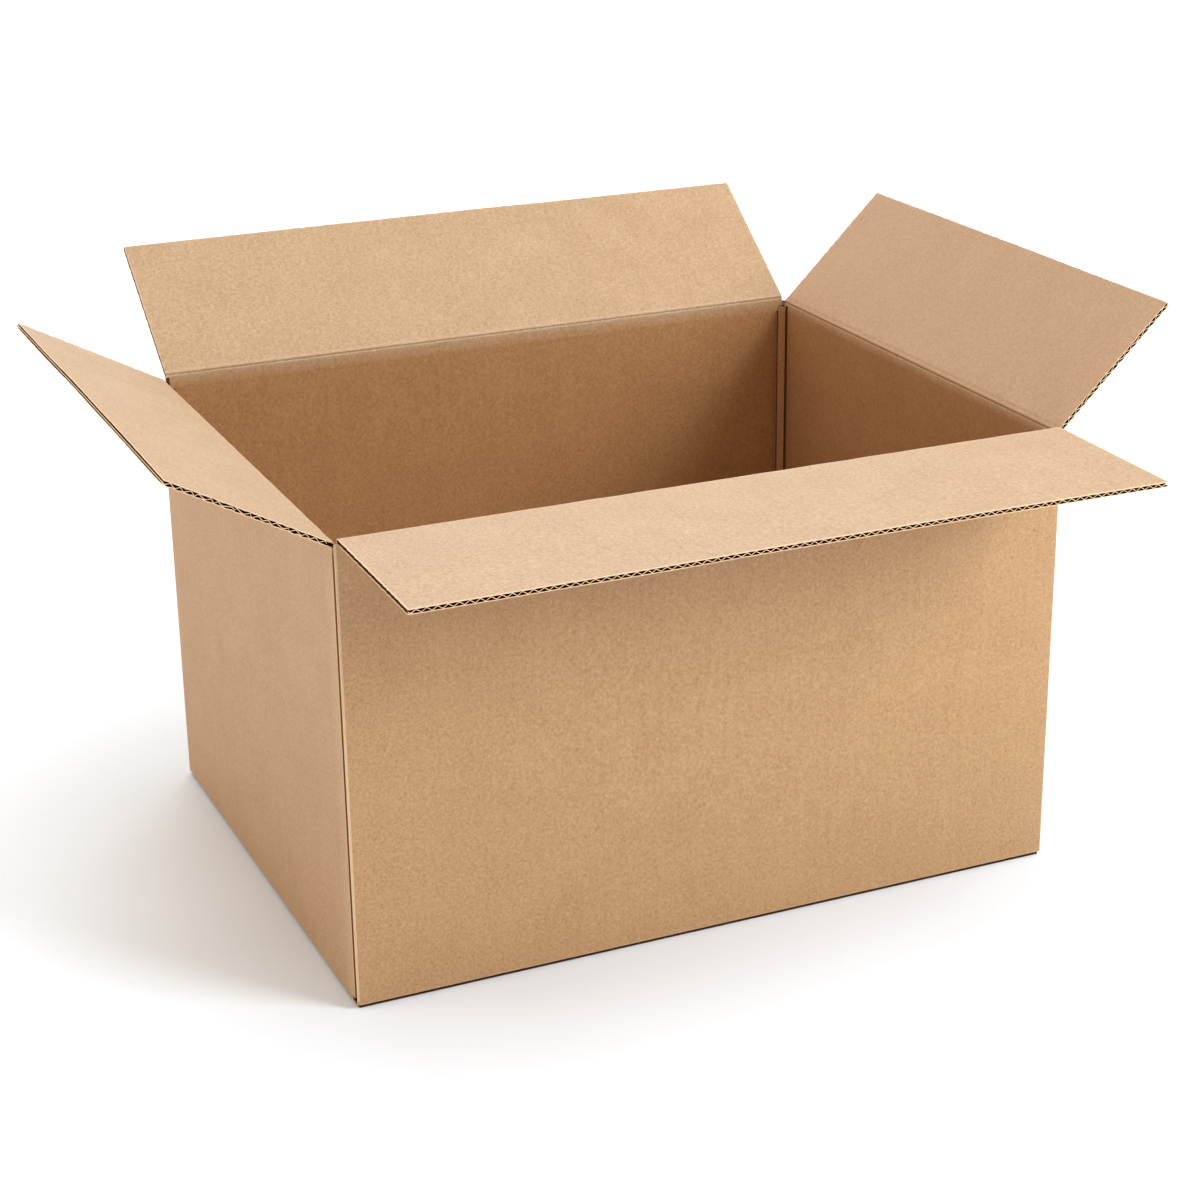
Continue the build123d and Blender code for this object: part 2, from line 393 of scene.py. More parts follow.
# %% How a flap bends
bow_height, bow_shift, bow_seed = 0.7 * mm, 0.4, 5
ripple_height, ripple_length = 0.2 * mm, 210 * mm
pinch_reach, slight_pinch = 4 * mm, 0.15


def bow(flap, u, v):
    """How far a flap is bent out of its plane: nothing at the score, then a cosine along it that grows with
    the square of the reach, and a slow drift that grows with the reach."""
    share = np.clip((v - score_reach) / (flap["depth"] - score_reach), 0, 1)
    arch = share**2 * bow_height * np.cos(np.pi * u / flap["half_span"] / 2 + bow_shift)
    return arch + share * ripple_height * drift(u, ripple_length, bow_seed)


def pinch(flap, u, v):
    """How much the wave is crushed near a free corner: a bell curve of the distance from it, in full at the
    rear corner of an end flap and slight at the others."""
    away = np.hypot(flap["half_span"] - np.abs(u), flap["depth"] - v)
    return np.exp(-((away / pinch_reach) ** 2)) * np.where(u * flap["along"][1] > 0, 1.0, slight_pinch)


print("front flap bows by", round(bow(flaps["front_flap"], 0.0, long_depth) / mm, 2), "mm at its free edge")

# %% [markdown]
# ## The flaps' liners
# Two sheets of kraft paper, one each side of the wave. Their cut edges wander by a tenth of a millimetre or
# two, and the knife leaves a small burr, which makes a cut liner look thicker than it is. The side that
# faces the wave gets the near-black paper, a painted shade for the dark of the flutes, and the rims are
# lighter by wear and by a painted highlight. A plain slab would be simpler, but its edge would show no
# wave.

# %% The flaps' liners
# the rim strip is lighter by wear and by a painted highlight
edge_border = 1.6 * mm  # the strip along a rim that wear reaches
burr = 0.08 * mm  # how much the knife thickens a liner at a cut across the flutes
side_burr = 0.25 * mm  # and the outer liner at a cut along them
free_wander, free_length = 0.18 * mm, 11 * mm
end_wander, end_length = 0.15 * mm, 9 * mm
crumple_reach, crumple_start, crumple_height, sink_depth = 5 * mm, 8 * mm, 0.2 * mm, 0.22 * mm
pinch_depth = 0.2 * mm


def edge_steps(low, high, count, border):
    """Even steps from low to high, with one more a border's width inside either end for the worn rim."""
    return np.concatenate([[low], np.linspace(low + border, high - border, count), [high]])


def liner_sheet(flap, side, seed):
    """One liner: a grid out from the score and along it, half a board from the middle, where side 1 is the
    inner face and -1 the outer. The cuts and the ends drift a little, and near the ends of an end flap the
    outer liner sinks between the crests of the wave, as a cosine over the flutes' pitch."""
    is_long, half_span = flap["depth"] == long_depth, flap["half_span"]
    steps_along, steps_out = (120, 48) if is_long else (64, 110)
    u = edge_steps(-half_span, half_span, steps_along, edge_border)[None, :]
    v = edge_steps(score_reach, flap["depth"], steps_out, edge_border)[:, None]
    free_rim, end_rim = v == v[-1], np.abs(u) == half_span
    crossed, beside = (free_rim, end_rim) if is_long else (end_rim, free_rim)
    thick = liner + burr * crossed + side_burr * beside * (side < 0)
    far = free_rim * free_wander * drift(u, free_length, seed)
    ends = np.sign(u) * end_rim * end_wander * drift(v, end_length, seed + 1)
    near_end = np.exp(-(half_span - np.abs(u)) / crumple_reach)
    near_end = near_end * np.clip((v - score_reach) / crumple_start, 0, 1)
    crumple = near_end * crumple_height * drift(v, end_length, seed + 2)
    if side < 0 and not is_long:
        crumple = crumple + near_end * sink_depth * (1 + np.cos(2 * np.pi * (v - score_reach) / flute_pitch))
    lift = bow(flap, u, v) + crumple - side * pinch_depth * pinch(flap, u, v)
    front = place(flap, u + ends, v + far, side * half_board + lift)
    back = place(flap, u + ends, v + far, side * (half_board - thick) + lift)
    points, quads, groups = closed_sheet(front, back)
    flat = np.stack(np.broadcast_arrays(v, u, 0 * u), -1).reshape(-1, 3)
    title = f"{flap['name']}_{'inner' if side > 0 else 'outer'}_liner"
    face = inner_liner if side > 0 else outer_liner
    # rims: wear and painted highlight; the flap's share of painted shade goes to the whole sheet
    on_rim = np.tile((free_rim | end_rim).ravel(), 2)
    wear_and_painted_light = np.where(on_rim, flap["rim_worn"], flap["face_worn"] if side > 0 else 0.0)
    piece = make_piece(title, points, quads, [face, painted_shade_paper, cut_paper], groups,
                       wear_and_painted_light=wear_and_painted_light, painted_shade=np.full(len(points), flap["shaded_brown"]), sheet=np.tile(flat, (2, 1)))
    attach(piece, flap["name"])
    return piece


# %% [markdown]
# ## Two liners for each flap
# Every flap gets its pair. The inner liner stands for the flap's CAD node, which is then hidden, and both
# ride on the flap's body, so they turn with its joint.

# %% Two liners for each flap
for number, flap in enumerate(flaps.values()):
    inner = liner_sheet(flap, 1, 11 + 20 * number)
    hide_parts(flap["name"])
    liner_sheet(flap, -1, 15 + 20 * number)

# %% [markdown]
# ## The wave between the liners
# The fluted paper is pressed between hot gears and glued to both liners at its crests. Seen end on it is a
# row of small dark triangles, a painted shade: the wave gets the near-black paper. In the front and rear
# flaps it runs out from the score, so it shows at the free edge; in the end flaps it runs along the score
# and shows at the two ends. The knife bruises it, so each crest sits a little off its pitch near the cut. A
# cut along the flutes opens only one of them, so the side of a long flap is a dark line of painted shade
# between two pale ones, browner near the cut by painted light. One bent sheet makes all this, with no hollow
# to cut out.

# %% The wave between the liners
crest_sharpness = 0.985  # 1 is a zigzag with points
steps_a_flute = 12
wave_gap = 0.02 * mm  # between a crest and its liner
free_setback, end_setback, setback_length = 0.1 * mm, 0.12 * mm, 14 * mm
tucked = 0.5 * mm  # how far the wave goes under the score's strip
end_shift = 90 * mm  # along the drift, so that the two ends of a flap differ


def zigzag(turns):
    """A wave between -1 and 1 with one crest a turn, straight flanks and slightly rounded crests: the
    arcsine of a sine that is a little flattened."""
    return np.arcsin(crest_sharpness * np.sin(2 * np.pi * turns)) / np.arcsin(crest_sharpness)


def along_flutes(flap, across, seed):
    """The steps along the flutes, close together near a cut, where the edge stands back by a drift of about
    a tenth of a millimetre. Gives each step's share of the way, its place, and its distance from the
    cut."""
    if flap["depth"] == long_depth:
        share = np.array([0, 0.5, 0.9, 0.96, 0.985, 1.0])[:, None]
        back_off = free_setback * (1 + drift(across, setback_length, seed))
        straight = score_reach - tucked + share * (flap["depth"] - back_off - score_reach + tucked)
        return share, straight, flap["depth"] - straight
    share = np.array([-1, -0.99, -0.975, -0.93, 0, 0.93, 0.975, 0.99, 1.0])[:, None]
    back_off = end_setback * (1 + drift(across + share * end_shift, setback_length, seed))
    straight = share * (flap["half_span"] - back_off)
    return share, straight, flap["half_span"] - np.abs(straight)


print("one flute's wave", np.round(zigzag(np.linspace(0, 1, 9)), 2).tolist())

# %% [markdown]
# ## One wave for each flap
# The wave lies between the liners of its flap and bows with them. Where a corner is knocked the wave is
# crushed: its height goes to nothing and its paper fills the board.

# %% One wave for each flap
bruise_reach = 4 * mm
long_slip, long_sink, end_slip, end_sink = 0.6 * mm, 0.1, 1.3 * mm, 0.2
slip_length, slip_shift = 16 * mm, 50 * mm
sink_length, sink_shift = 21 * mm, 70 * mm
crushed_space = 0.25 * mm  # left free under each liner at a crushed corner
# painted light: how far the brown reaches into a side cut; painted shade: rims that get the near-black paper
light_reach = 5 * mm  # how far light gets into a side cut
dark_pinch, side_rim = 0.25, 0.01 * mm  # where a rim is crushed, or a side cut, and so dark


def wave_sheet(flap, seed):
    """The fluted paper of one flap: across it goes up and down in whole turns, so that a cut along the
    flutes meets it halfway up. The other way it is straight, apart from the bruised last millimetres at a
    cut, where crests shift and sink by an exponential of the distance from the cut."""
    is_long = flap["depth"] == long_depth
    flank = medium / 2 * np.hypot(1, 2 * (half_board - liner) / (flute_pitch / 2))
    rise = half_board - liner - flank - wave_gap
    span = 2 * flap["half_span"] if is_long else flap["depth"] - score_reach
    turns = round(span / flute_pitch)
    across = np.linspace(0, span, turns * steps_a_flute + 1)[None, :]
    share, straight, to_cut = along_flutes(flap, across, seed)
    inland = np.clip(4 * across / span, 0, 1) * np.clip(4 - 4 * across / span, 0, 1)
    bruise = np.exp(-to_cut / bruise_reach) * inland
    slip, sink = (long_slip, long_sink) if is_long else (end_slip, end_sink)
    shifted = across + bruise * slip * drift(across + share * slip_shift, slip_length, seed + 1)
    height = 1 - sink * bruise * (1 + drift(across + share * sink_shift, sink_length, seed + 2))
    if is_long:
        u, v = shifted - flap["half_span"], straight
        to_side = np.minimum(across, span - across)
    else:
        u, v = straight, shifted + score_reach
        to_side = span - across
    crushed = pinch(flap, u, v)
    middle = rise * zigzag(across / span * turns) * height * (1 - crushed) + bow(flap, u, v)
    flank = flank + crushed * (half_board - liner - crushed_space - flank)
    upper, lower = place(flap, u, v, middle + flank), place(flap, u, v, middle - flank)
    points, quads, groups = closed_sheet(upper, lower)
    # painted shade on crushed and side rims; painted light near a side cut
    in_dark = np.broadcast_to((crushed > dark_pinch) | (is_long & (to_side < side_rim)), u.shape).ravel()
    groups = np.where((groups == 2) & np.tile(in_dark, 2)[quads].all(1), 0, groups)
    wear_and_painted_light = flap["side_painted_light"] * np.clip(1.0 - to_side / light_reach, 0, 1)
    wear_and_painted_light = np.tile(np.broadcast_to(wear_and_painted_light, u.shape).ravel(), 2)
    papers = [painted_shade_paper, painted_shade_paper, cut_paper]
    piece = make_piece(f"{flap['name']}_wave", points, quads, papers, groups, wear_and_painted_light=wear_and_painted_light, sharp=50.0)
    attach(piece, flap["name"])
    return piece


for number, flap in enumerate(flaps.values()):
    wave_sheet(flap, 131 + 10 * number)

# %% [markdown]
# ## The inside of a score
# A score is a line where the board was crushed before folding. The sheet goes round it from the wall into
# the flap: over a small roll on the inside and into a tight corner on the outside. A Bevel modifier could
# round such a corner, but not dent it, so both sides are worked out as lines and carried along the score.

# %% The inside of a score
score_steps = np.array([0.2, 0.6, 1.1, 1.6, 2.1, 2.7, 3.4, 4.2, 5.2, 6.0]) * mm  # out from the score
roll_steps, roll_radius = 10, 1.5 * mm
dent_depth, dent_width = 0.85 * mm, 0.8 * mm
ridge_height, ridge_place, ridge_width = 0.07 * mm, 2.3 * mm, 1.2 * mm
soft_depth, soft_width = 0.75 * mm, 1.3 * mm
wobble_height, wobble_length, wobble_width = 0.12 * mm, 34 * mm, 4 * mm
gap_top = 2.5 * mm  # how far below the score the gap beside a bead ends


def score_inside(flap, u, in_gap, seed):
    """The inside of a score: a straight run up the wall, an arc round the turning axis and a straight run
    along the flap. Its distance from the board's middle is half the board, less a dent along the score and
    a soft lean towards it, plus a low ridge either side and a drift. The gap beside a bead is cut into the
    wall's run. Gives the grid, and for each row the way from the score."""
    lean, up, out = flap["lean"], flap["up"], flap["outward"]
    wall_runs = np.concatenate([[flap["origin"][2] - wall_top], score_steps[::-1]])
    turns = np.linspace(0, lean, roll_steps + 2)[1:-1]
    arc = lean * roll_radius
    way = np.concatenate([-wall_runs - arc / 2, (turns / lean - 0.5) * arc, score_steps + arc / 2])[:, None]
    dent = dent_depth * np.exp(-((way / dent_width) ** 2))
    ridge = ridge_height * np.exp(-(((np.abs(way) - ridge_place) / ridge_width) ** 2))
    up_the_wall = 0.5 + 0.5 * np.cos(np.pi * np.clip(way / way[0], 0, 1))
    soft = np.where(way < 0, up_the_wall, np.exp(-((way / soft_width) ** 2)))
    wobble = wobble_height * drift(u, wobble_length, seed) * np.exp(-((way / wobble_width) ** 2))
    thick = half_board - dent - soft_depth * soft + ridge + wobble - groove_depth * in_gap * (way < -gap_top)
    on_wall, on_flap = -wall_runs[:, None] * up, score_steps[:, None] * flap["reach"]
    base = np.concatenate([on_wall, np.zeros((roll_steps, 3)), on_flap])
    rolled = -out * np.cos(turns)[:, None] + up * np.sin(turns)[:, None]
    wall_face, flap_face = np.tile(-out, (len(on_wall), 1)), np.tile(flap["normal"], (len(on_flap), 1))
    face = np.concatenate([wall_face, rolled, flap_face])
    return flap["origin"] + base[:, None, :] + thick[..., None] * face[:, None, :], way


print("a score's strip reaches", round(score_steps[-1] / mm, 1), "mm along its flap")

# %% [markdown]
# ## The outside of a score
# Outside, the two faces of the fold come together in a tight but not sharp corner. A quadratic curve
# between the two runs gives it, and the board gets thinner towards it, because the score has crushed it.

# %% The outside of a score
crushed_half = 1.6 * mm  # from the board's middle to the outside at a score
fillet_reach, narrow_power = 1.2 * mm, 0.8
run_margin = 0.2 * mm  # how much further the wall's run starts than the flap's ends


def score_outside(flap):
    """The outside of a score: a run up the wall, a curve with its peak where the two runs would meet, and a
    run along the flap. Towards the score the board narrows from its half to the crushed half."""
    up, out, count = flap["up"], flap["outward"], len(score_steps)
    corner = crushed_half * np.tan(flap["lean"] / 2)
    foot = flap["origin"][2] - wall_top
    wall_runs = np.linspace(score_reach + run_margin, corner + fillet_reach, count)
    wall_runs = np.concatenate([[foot], wall_runs])[:, None]
    flap_runs = np.linspace(corner + fillet_reach, score_reach, count)[:, None]
    shares = [np.clip(run / score_reach, 0, 1) ** narrow_power for run in (wall_runs, flap_runs)]
    wall_thick, flap_thick = (crushed_half + (half_board - crushed_half) * share for share in shares)
    wall_side = -wall_runs * up + wall_thick * out
    flap_side = flap_runs * flap["reach"] - flap_thick * flap["normal"]
    bend = np.linspace(0, 1, roll_steps + 2)[1:-1, None]
    peak = -up * corner + out * crushed_half
    fillet = (1 - bend) ** 2 * wall_side[-1] + 2 * bend * (1 - bend) * peak + bend**2 * flap_side[0]
    return flap["origin"] + np.concatenate([wall_side, fillet, flap_side])[:, None, :]


print("rows of a score", {name: len(score_outside(flap)) for name, flap in flaps.items()})

# %% [markdown]
# ## The layers of a score
# Between the inside and the outside lie an inner liner, a core that stands back at the ends, and an outer
# liner, so the ends of a score show three lines as the flap's own cuts do. The core and the liners' inner
# sides get the near-black paper, a painted shade. The three skins become one piece.

# %% The layers of a score
inner_share, core_shares, outer_share = 0.16, (0.17, 0.83), 0.84
core_recess, recess_start, recess_run = 0.7 * mm, 0.5 * mm, 2.5 * mm
deep_run = 12 * mm


# how much painted shade a point gets, by its depth below the scores
def how_deep(height):
    """0 at the scores and 1 from a centimetre or so below them on."""
    return np.clip((case_high[2] - height) / deep_run, 0, 1)


def stack_sheets(*sheets):
    """Several closed skins as one, with the groups of each skin counted on by three."""
    starts = np.cumsum([0] + [len(points) for points, quads, groups in sheets])
    quads = [sheet[1] + start for sheet, start in zip(sheets, starts)]
    groups = [sheet[2] + 3 * number for number, sheet in enumerate(sheets)]
    return np.concatenate([sheet[0] for sheet in sheets]), np.concatenate(quads), np.concatenate(groups)


def score_layers(flap, u, inside, outside, way):
    """The three skins between the inside and the outside grid: each is a share of the way from one to the
    other, and the core is drawn back from the ends by a recess that grows from the score towards the
    flap."""

    def layer(share, recess):
        """The grid at one share of the way, spread along the score and drawn back by the recess."""
        across = inside + share * (outside - inside)
        return across + (u * (1 - recess / flap["half_span"]))[..., None] * flap["along"]

    hollow = core_recess * np.clip((way + recess_start) / recess_run, 0, 1)
    return stack_sheets(
        closed_sheet(layer(0, 0), layer(inner_share, 0)),
        closed_sheet(layer(core_shares[0], hollow), layer(core_shares[1], hollow)),
        closed_sheet(layer(outer_share, 0), layer(1, 0)),
    )


print("depth share a centimetre below the top", round(float(how_deep(case_high[2] - 10 * mm)), 2))

# %% [markdown]
# ## The papers, wear and painted light of a score
# Towards the wall a strip's ends have the outer liner's brown, and beside a bead the open gap goes on up
# into it, with the near-black paper of painted shade and brown where light gets in, a painted light. At the
# rear flap's left end a small dark notch is painted on the strip, a painted shade. The ridges beside the
# score are lighter, partly rubbed bare and partly a painted highlight.

# %% The papers, wear and painted light of a score
# the notch is painted shade, and its share lightens it a little, a painted light
notch_width, notch_top, notch_wear_and_light = 3.05 * mm, 1.5 * mm, 0.3
wall_crest, flap_crest, crest_place, crest_width = 0.12, 0.18, 2.4 * mm, 1.3 * mm
gap_painted_light_top = 2.0 * mm
strip_papers = [inner_liner, outer_liner, painted_shade_paper, cut_paper]
# the near-black paper in this table is painted shade
layer_papers = np.array([0, 2, 3, 2, 2, 2, 2, 1, 3])  # front, back and rim of the three skins


def score_papers(flap, points, quads, groups):
    """Which paper each face has: by its skin and side, with the outer liner on the wall's rims, and the
    near-black paper of painted shade by the place along the score where the gap or the painted notch is."""
    half_span, is_long = flap["half_span"], flap["depth"] == long_depth
    middle = points[quads].mean(1) - flap["origin"]
    below, beside = middle @ -flap["up"], middle @ flap["along"]
    off_centre = np.abs(beside)
    pick = layer_papers[groups]
    pick = np.where((below > middle @ flap["reach"]) & (groups % 3 == 2), 1, pick)
    dark = (off_centre < half_span - gap_near) & (off_centre > half_span - gap_far) & (below > gap_top)
    pick = np.where((groups == 0) & dark & (not is_long), 2, pick)
    painted_notch = (beside < notch_width - half_span) & (below > notch_top)
    return np.where((groups == 0) & painted_notch & (flap["name"] == "rear_flap"), 2, pick)


def score_wear_and_light(flap, u, way, in_gap):
    """How bare each point is, with painted light: a bell curve over each ridge, of wear and a painted
    highlight, with painted light in the gap and the painted notch. The core has none."""
    crest = np.exp(-(((np.abs(way) - crest_place) / crest_width) ** 2))
    crest = np.where(way < 0, wall_crest, flap_crest) * crest
    notched = (u < notch_width - flap["half_span"]) & (flap["name"] == "rear_flap") & (way < 0)
    in_wear_and_light = np.where(in_gap & (way < -gap_painted_light_top), 1.0, np.where(notched, notch_wear_and_light, crest))
    out_wear_and_light = crest + 0 * u
    return np.array([in_wear_and_light, in_wear_and_light, 0 * in_wear_and_light, 0 * in_wear_and_light, out_wear_and_light, out_wear_and_light]).ravel()


print("papers of a strip", [paper.name for paper in strip_papers])

# %% [markdown]
# ## The score strips
# Each strip is one piece between the case and its flap. An end flap lies
# close under the long flaps when it is folded in, so its strip bends nearer to the score.

# %% The score strips
columns_along, rim_step, half_step = 81, 0.1 * mm, 0.05 * mm


def score_strip(flap, seed):
    """The crushed board round one score, from its layers: even columns along the score, with close ones at
    the rims of the gap and the notch."""
    half_span, origin, up = flap["half_span"], flap["origin"], flap["up"]
    is_long = flap["depth"] == long_depth
    gap_rims = half_span - np.array([gap_near, gap_near + rim_step, gap_far - rim_step, gap_far])
    end_rims = half_span - np.array([rim_step, notch_width - half_step, notch_width + half_step])
    even = np.linspace(-half_span, half_span, columns_along)
    u = np.unique(np.concatenate([even, gap_rims, -gap_rims, -end_rims, end_rims]))[None, :]
    in_gap = (np.abs(u) < half_span - gap_near - half_step) & (np.abs(u) > half_span - gap_far + half_step)
    in_gap = in_gap & (not is_long)
    inside, way = score_inside(flap, u, in_gap, seed)
    points, quads, groups = score_layers(flap, u, inside, score_outside(flap), way)
    pick = score_papers(flap, points, quads, groups)
    flat = np.stack(np.broadcast_arrays(way, u, 0 * u), -1).reshape(-1, 3)
    piece = make_piece(f"{flap['name']}_score", points, quads, strip_papers, pick,
                       wear_and_painted_light=score_wear_and_light(flap, u, way, in_gap),
                       painted_shade=np.maximum(how_deep(points[:, 2]), flap["shaded_brown"]),
                       sheet=np.tile(flat, (6, 1)), sharp=60.0)
    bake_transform(piece)
    return piece


for number, flap in enumerate(flaps.values()):
    score_strip(flap, 201 + number)

# %% [markdown]
# ## The outside of the walls, seen from above
# The four walls are one sheet bent round three rounded folds; the fourth corner is the glued joint, where
# the front panel's square edge stands in front of the left wall's fold and a slot, painted dark as shade,
# runs between them.
# Four boxes with a Bevel modifier could make the walls, but not the slot. So the outside is a closed line,
# made of straight runs and arcs, that is carried up the wall.

# %% The outside of the walls, seen from above
fold_radius, fold_steps = 3.0 * mm, 9
joint_lip, joint_slot, joint_margin = 0.8 * mm, 2.2 * mm, 20 * mm
lip_round, lip_bare, lip_end = 0.1 * mm, 1.6 * mm, 2.2 * mm
wall_steps = 48


def run_of(start, end, count):
    """Points along a straight wall, without its two ends."""
    return np.linspace(start, end, count + 2)[1:-1]


def arc_of(middle, radius, first, last, count):
    """Points round a fold, from one angle to the other in degrees."""
    angles = np.radians(np.linspace(first, last, count))
    return np.array(middle) + radius * np.stack([np.cos(angles), np.sin(angles)], 1)


def outer_plan(corner):
    """The outside line seen from above, anticlockwise from the front left, closed by the points of the
    joint."""
    x, y, r = half_length, half_width, fold_radius
    return np.concatenate([
        run_of((-x + 2 * r, -y), (x - r, -y), wall_steps),
        arc_of((x - r, -y + r), r, -90, 0, fold_steps),
        run_of((x, -y + r), (x, y - r), wall_steps),
        arc_of((x - r, y - r), r, 0, 90, fold_steps),
        run_of((x - r, y), (-x + r, y), wall_steps),
        arc_of((-x + r, y - r), r, 90, 180, fold_steps),
        run_of((-x, y - r), (-x, -y + joint_margin), wall_steps),
        corner,
    ])


def joint_corner(depth, reach):
    """The joint's 12 points seen from above: the left wall's fold, a slot of some depth that starts at some
    reach behind the front panel's cut edge, and the lip of its front liner. The slot lies between the
    points 4 and 7, and the cut edge of the lip between 7 and 9."""
    x, y, r = -half_length, -half_width, fold_radius
    fold = arc_of((x + r, y + board + reach + r), r, 180, 205, 5)
    slot = [(x + depth, fold[-1, 1] - 0.05 * mm), (x + depth, y + joint_lip), (x + lip_round, y + joint_lip)]
    lip = [(x, y + joint_lip / 2), (x + lip_round, y), (x + lip_bare, y), (x + lip_end, y)]
    return np.concatenate([fold, slot, lip])


tall_plan = outer_plan(joint_corner(joint_slot, 0))
print("plan points outside", len(tall_plan))

# %% [markdown]
# ## The inside of the walls, seen from above
# Inside, the board is crushed into a bead along each fold. On the long wall's side it dips down to the
# bead, and on the end wall's side there is an open gap beside it. One corner is drawn, and the others
# mirror it.

# %% The inside of the walls, seen from above
bead_share = np.linspace(0, 1, 7)[:, None]
bead_start = np.array((room_x - bead, room_y - bead_step))
bead_end = np.array((room_x - bead_step, room_y - bead))
bead_line = bead_start * (1 - bead_share) + bead_end * bead_share
bead_line = bead_line - bead_bulge * np.sin(np.pi * bead_share) * np.array((0.7, 0.7))
# how far beside the bead, and how far into the board
dip_line = np.array([(4.5, 0.0), (3.0, 0.2), (1.6, 0.8), (0.5, 1.5), (0.0, 1.5)]) * mm
dip_line = np.array((room_x - bead, room_y)) + dip_line * (-1, 1)
gap_slant, gap_lip, gap_ease = 0.1 * mm, 0.2 * mm, 0.3 * mm
gap_line = [
    (room_x + groove_depth, room_y - bead),
    (room_x + groove_depth, room_y - bead - groove_width + gap_slant),
    (room_x + gap_lip, room_y - bead - groove_width),
    (room_x, room_y - bead - groove_width - gap_ease),
]
bead_corner = np.concatenate([dip_line, bead_line, gap_line])
lap_corner = (-room_x, -room_y)
inner_plan = np.concatenate([
    run_of(lap_corner, bead_corner[0] * (1, -1), wall_steps),
    bead_corner * (1, -1),
    run_of(bead_corner[-1] * (1, -1), bead_corner[-1], wall_steps),
    bead_corner[::-1],
    run_of(bead_corner[0], bead_corner[0] * (-1, 1), wall_steps),
    bead_corner * (-1, 1),
    run_of(bead_corner[-1] * (-1, 1), lap_corner, wall_steps),
    [lap_corner],
])
print("plan points inside", len(inner_plan))

# %% [markdown]
# ## The walls, level by level
# Going up, the outside starts under the fold of the bottom, almost three millimetres clear of the floor, so
# that a thin dark line of shadow runs round the foot. A plain corner closes the joint there, then comes the
# small hole where the bottom flaps meet the joint, and above it the slot. The walls belly out by less than
# a millimetre between their stiff edges.

# %% The walls, level by level
foot_radius, foot_gap, foot_inset, foot_steps = 1.0 * mm, 2.9 * mm, 3.0 * mm, 7
hole_depth, hole_reach, hole_top = 9.0 * mm, 5.0 * mm, 6.8 * mm
hole_start, slot_start, level_count = 0.15 * mm, 0.3 * mm, 40
belly_height, belly_drift, belly_length, belly_power, belly_seed = 0.7, 0.25, 260 * mm, 1.2, 7


def inward(plan):
    """The direction into the board at each point of an anticlockwise line."""
    ahead = np.roll(plan, -1, 0) - np.roll(plan, 1, 0)
    ahead = ahead / np.linalg.norm(ahead, axis=1, keepdims=True)
    return np.stack([-ahead[:, 1], ahead[:, 0]], 1)


def belly(plan, height):
    """How far the walls swell at a height: a parabola along each wall times a sine up it, with a slow
    drift, so there is most in the middle and nothing at folds, foot and top."""
    x_share = np.clip(1 - (plan[:, 0] / half_length) ** 2, 0, 1)
    y_share = np.clip(1 - (plan[:, 1] / half_width) ** 2, 0, 1)
    on_long = np.abs(plan[:, 1]) > half_width - 1.5 * board
    swell = np.where(on_long, x_share, y_share)
    lift = np.sin(np.pi * np.clip(height / wall_top, 0, 1)) ** belly_power
    uneven = belly_height + belly_drift * drift(plan[:, 0] + plan[:, 1], belly_length, belly_seed)
    return swell * lift * mm * uneven


def level(plan, height, push=0.0):
    """One closed line of points at a height, moved into the board by push and out by the belly."""
    moved = plan + inward(plan) * (push - belly(plan, height)[:, None])
    return np.column_stack([moved, np.full(len(plan), height)])


plain_corner = arc_of((-half_length + fold_radius, -half_width + fold_radius), fold_radius, 180, 270, 12)
plain_plan = outer_plan(plain_corner)
hole_plan = outer_plan(joint_corner(hole_depth, hole_reach))
foot_turns = np.linspace(0, np.pi / 2, foot_steps)
rounded = [(foot_gap + foot_radius * (1 - np.cos(a)), foot_radius * (1 - np.sin(a))) for a in foot_turns]
foot_rows = [level(plain_plan, height, push) for height, push in [(foot_gap, foot_inset), *rounded]]
hole_rows = [level(hole_plan, h) for h in (foot_gap + foot_radius + hole_start, hole_top)]
slot_rows = [level(tall_plan, h) for h in np.linspace(hole_top + slot_start, wall_top, level_count)]
outside = np.array(foot_rows + hole_rows + slot_rows)
inside = np.array([level(inner_plan, h) for h in np.linspace(board, wall_top, level_count)])
print("levels outside", len(outside), "inside", len(inside))

# %% [markdown]
# ## Closing the skin
# The two skins are rings of quads, and flat caps of triangles close them at the top and at the foot.
# Blender's own tessellation fills the ring between two lines of any shape, so the caps need no matching
# points.


# %% Closing the skin
def ring_faces(rows, columns, first):
    """The quads of a skin whose rows are closed lines."""
    number = first + np.arange(rows * columns).reshape(rows, columns)
    following = np.roll(number, -1, 1)
    return np.stack([number[:-1], following[:-1], following[1:], number[1:]], -1).reshape(-1, 4)


def cap_faces(outer_line, outer_first, inner_line, inner_first):
    """The triangles that close the ring between two lines, outside and inside."""
    loops = [[Vector((*p[:2], 0)) for p in line] for line in (outer_line, inner_line)]
    outer_numbers = outer_first + np.arange(len(outer_line))
    inner_numbers = inner_first + np.arange(len(inner_line))
    return np.concatenate([outer_numbers, inner_numbers])[np.array(tessellate_polygon(loops))]


def facing(faces, points, wanted):
    """The triangles turned so that each one's upward part has the wanted sign."""
    a, b, c = (points[faces[:, i]] for i in range(3))
    rising = np.cross(b - a, c - a)[:, 2] * wanted
    return np.where((rising < 0)[:, None], faces[:, ::-1], faces)


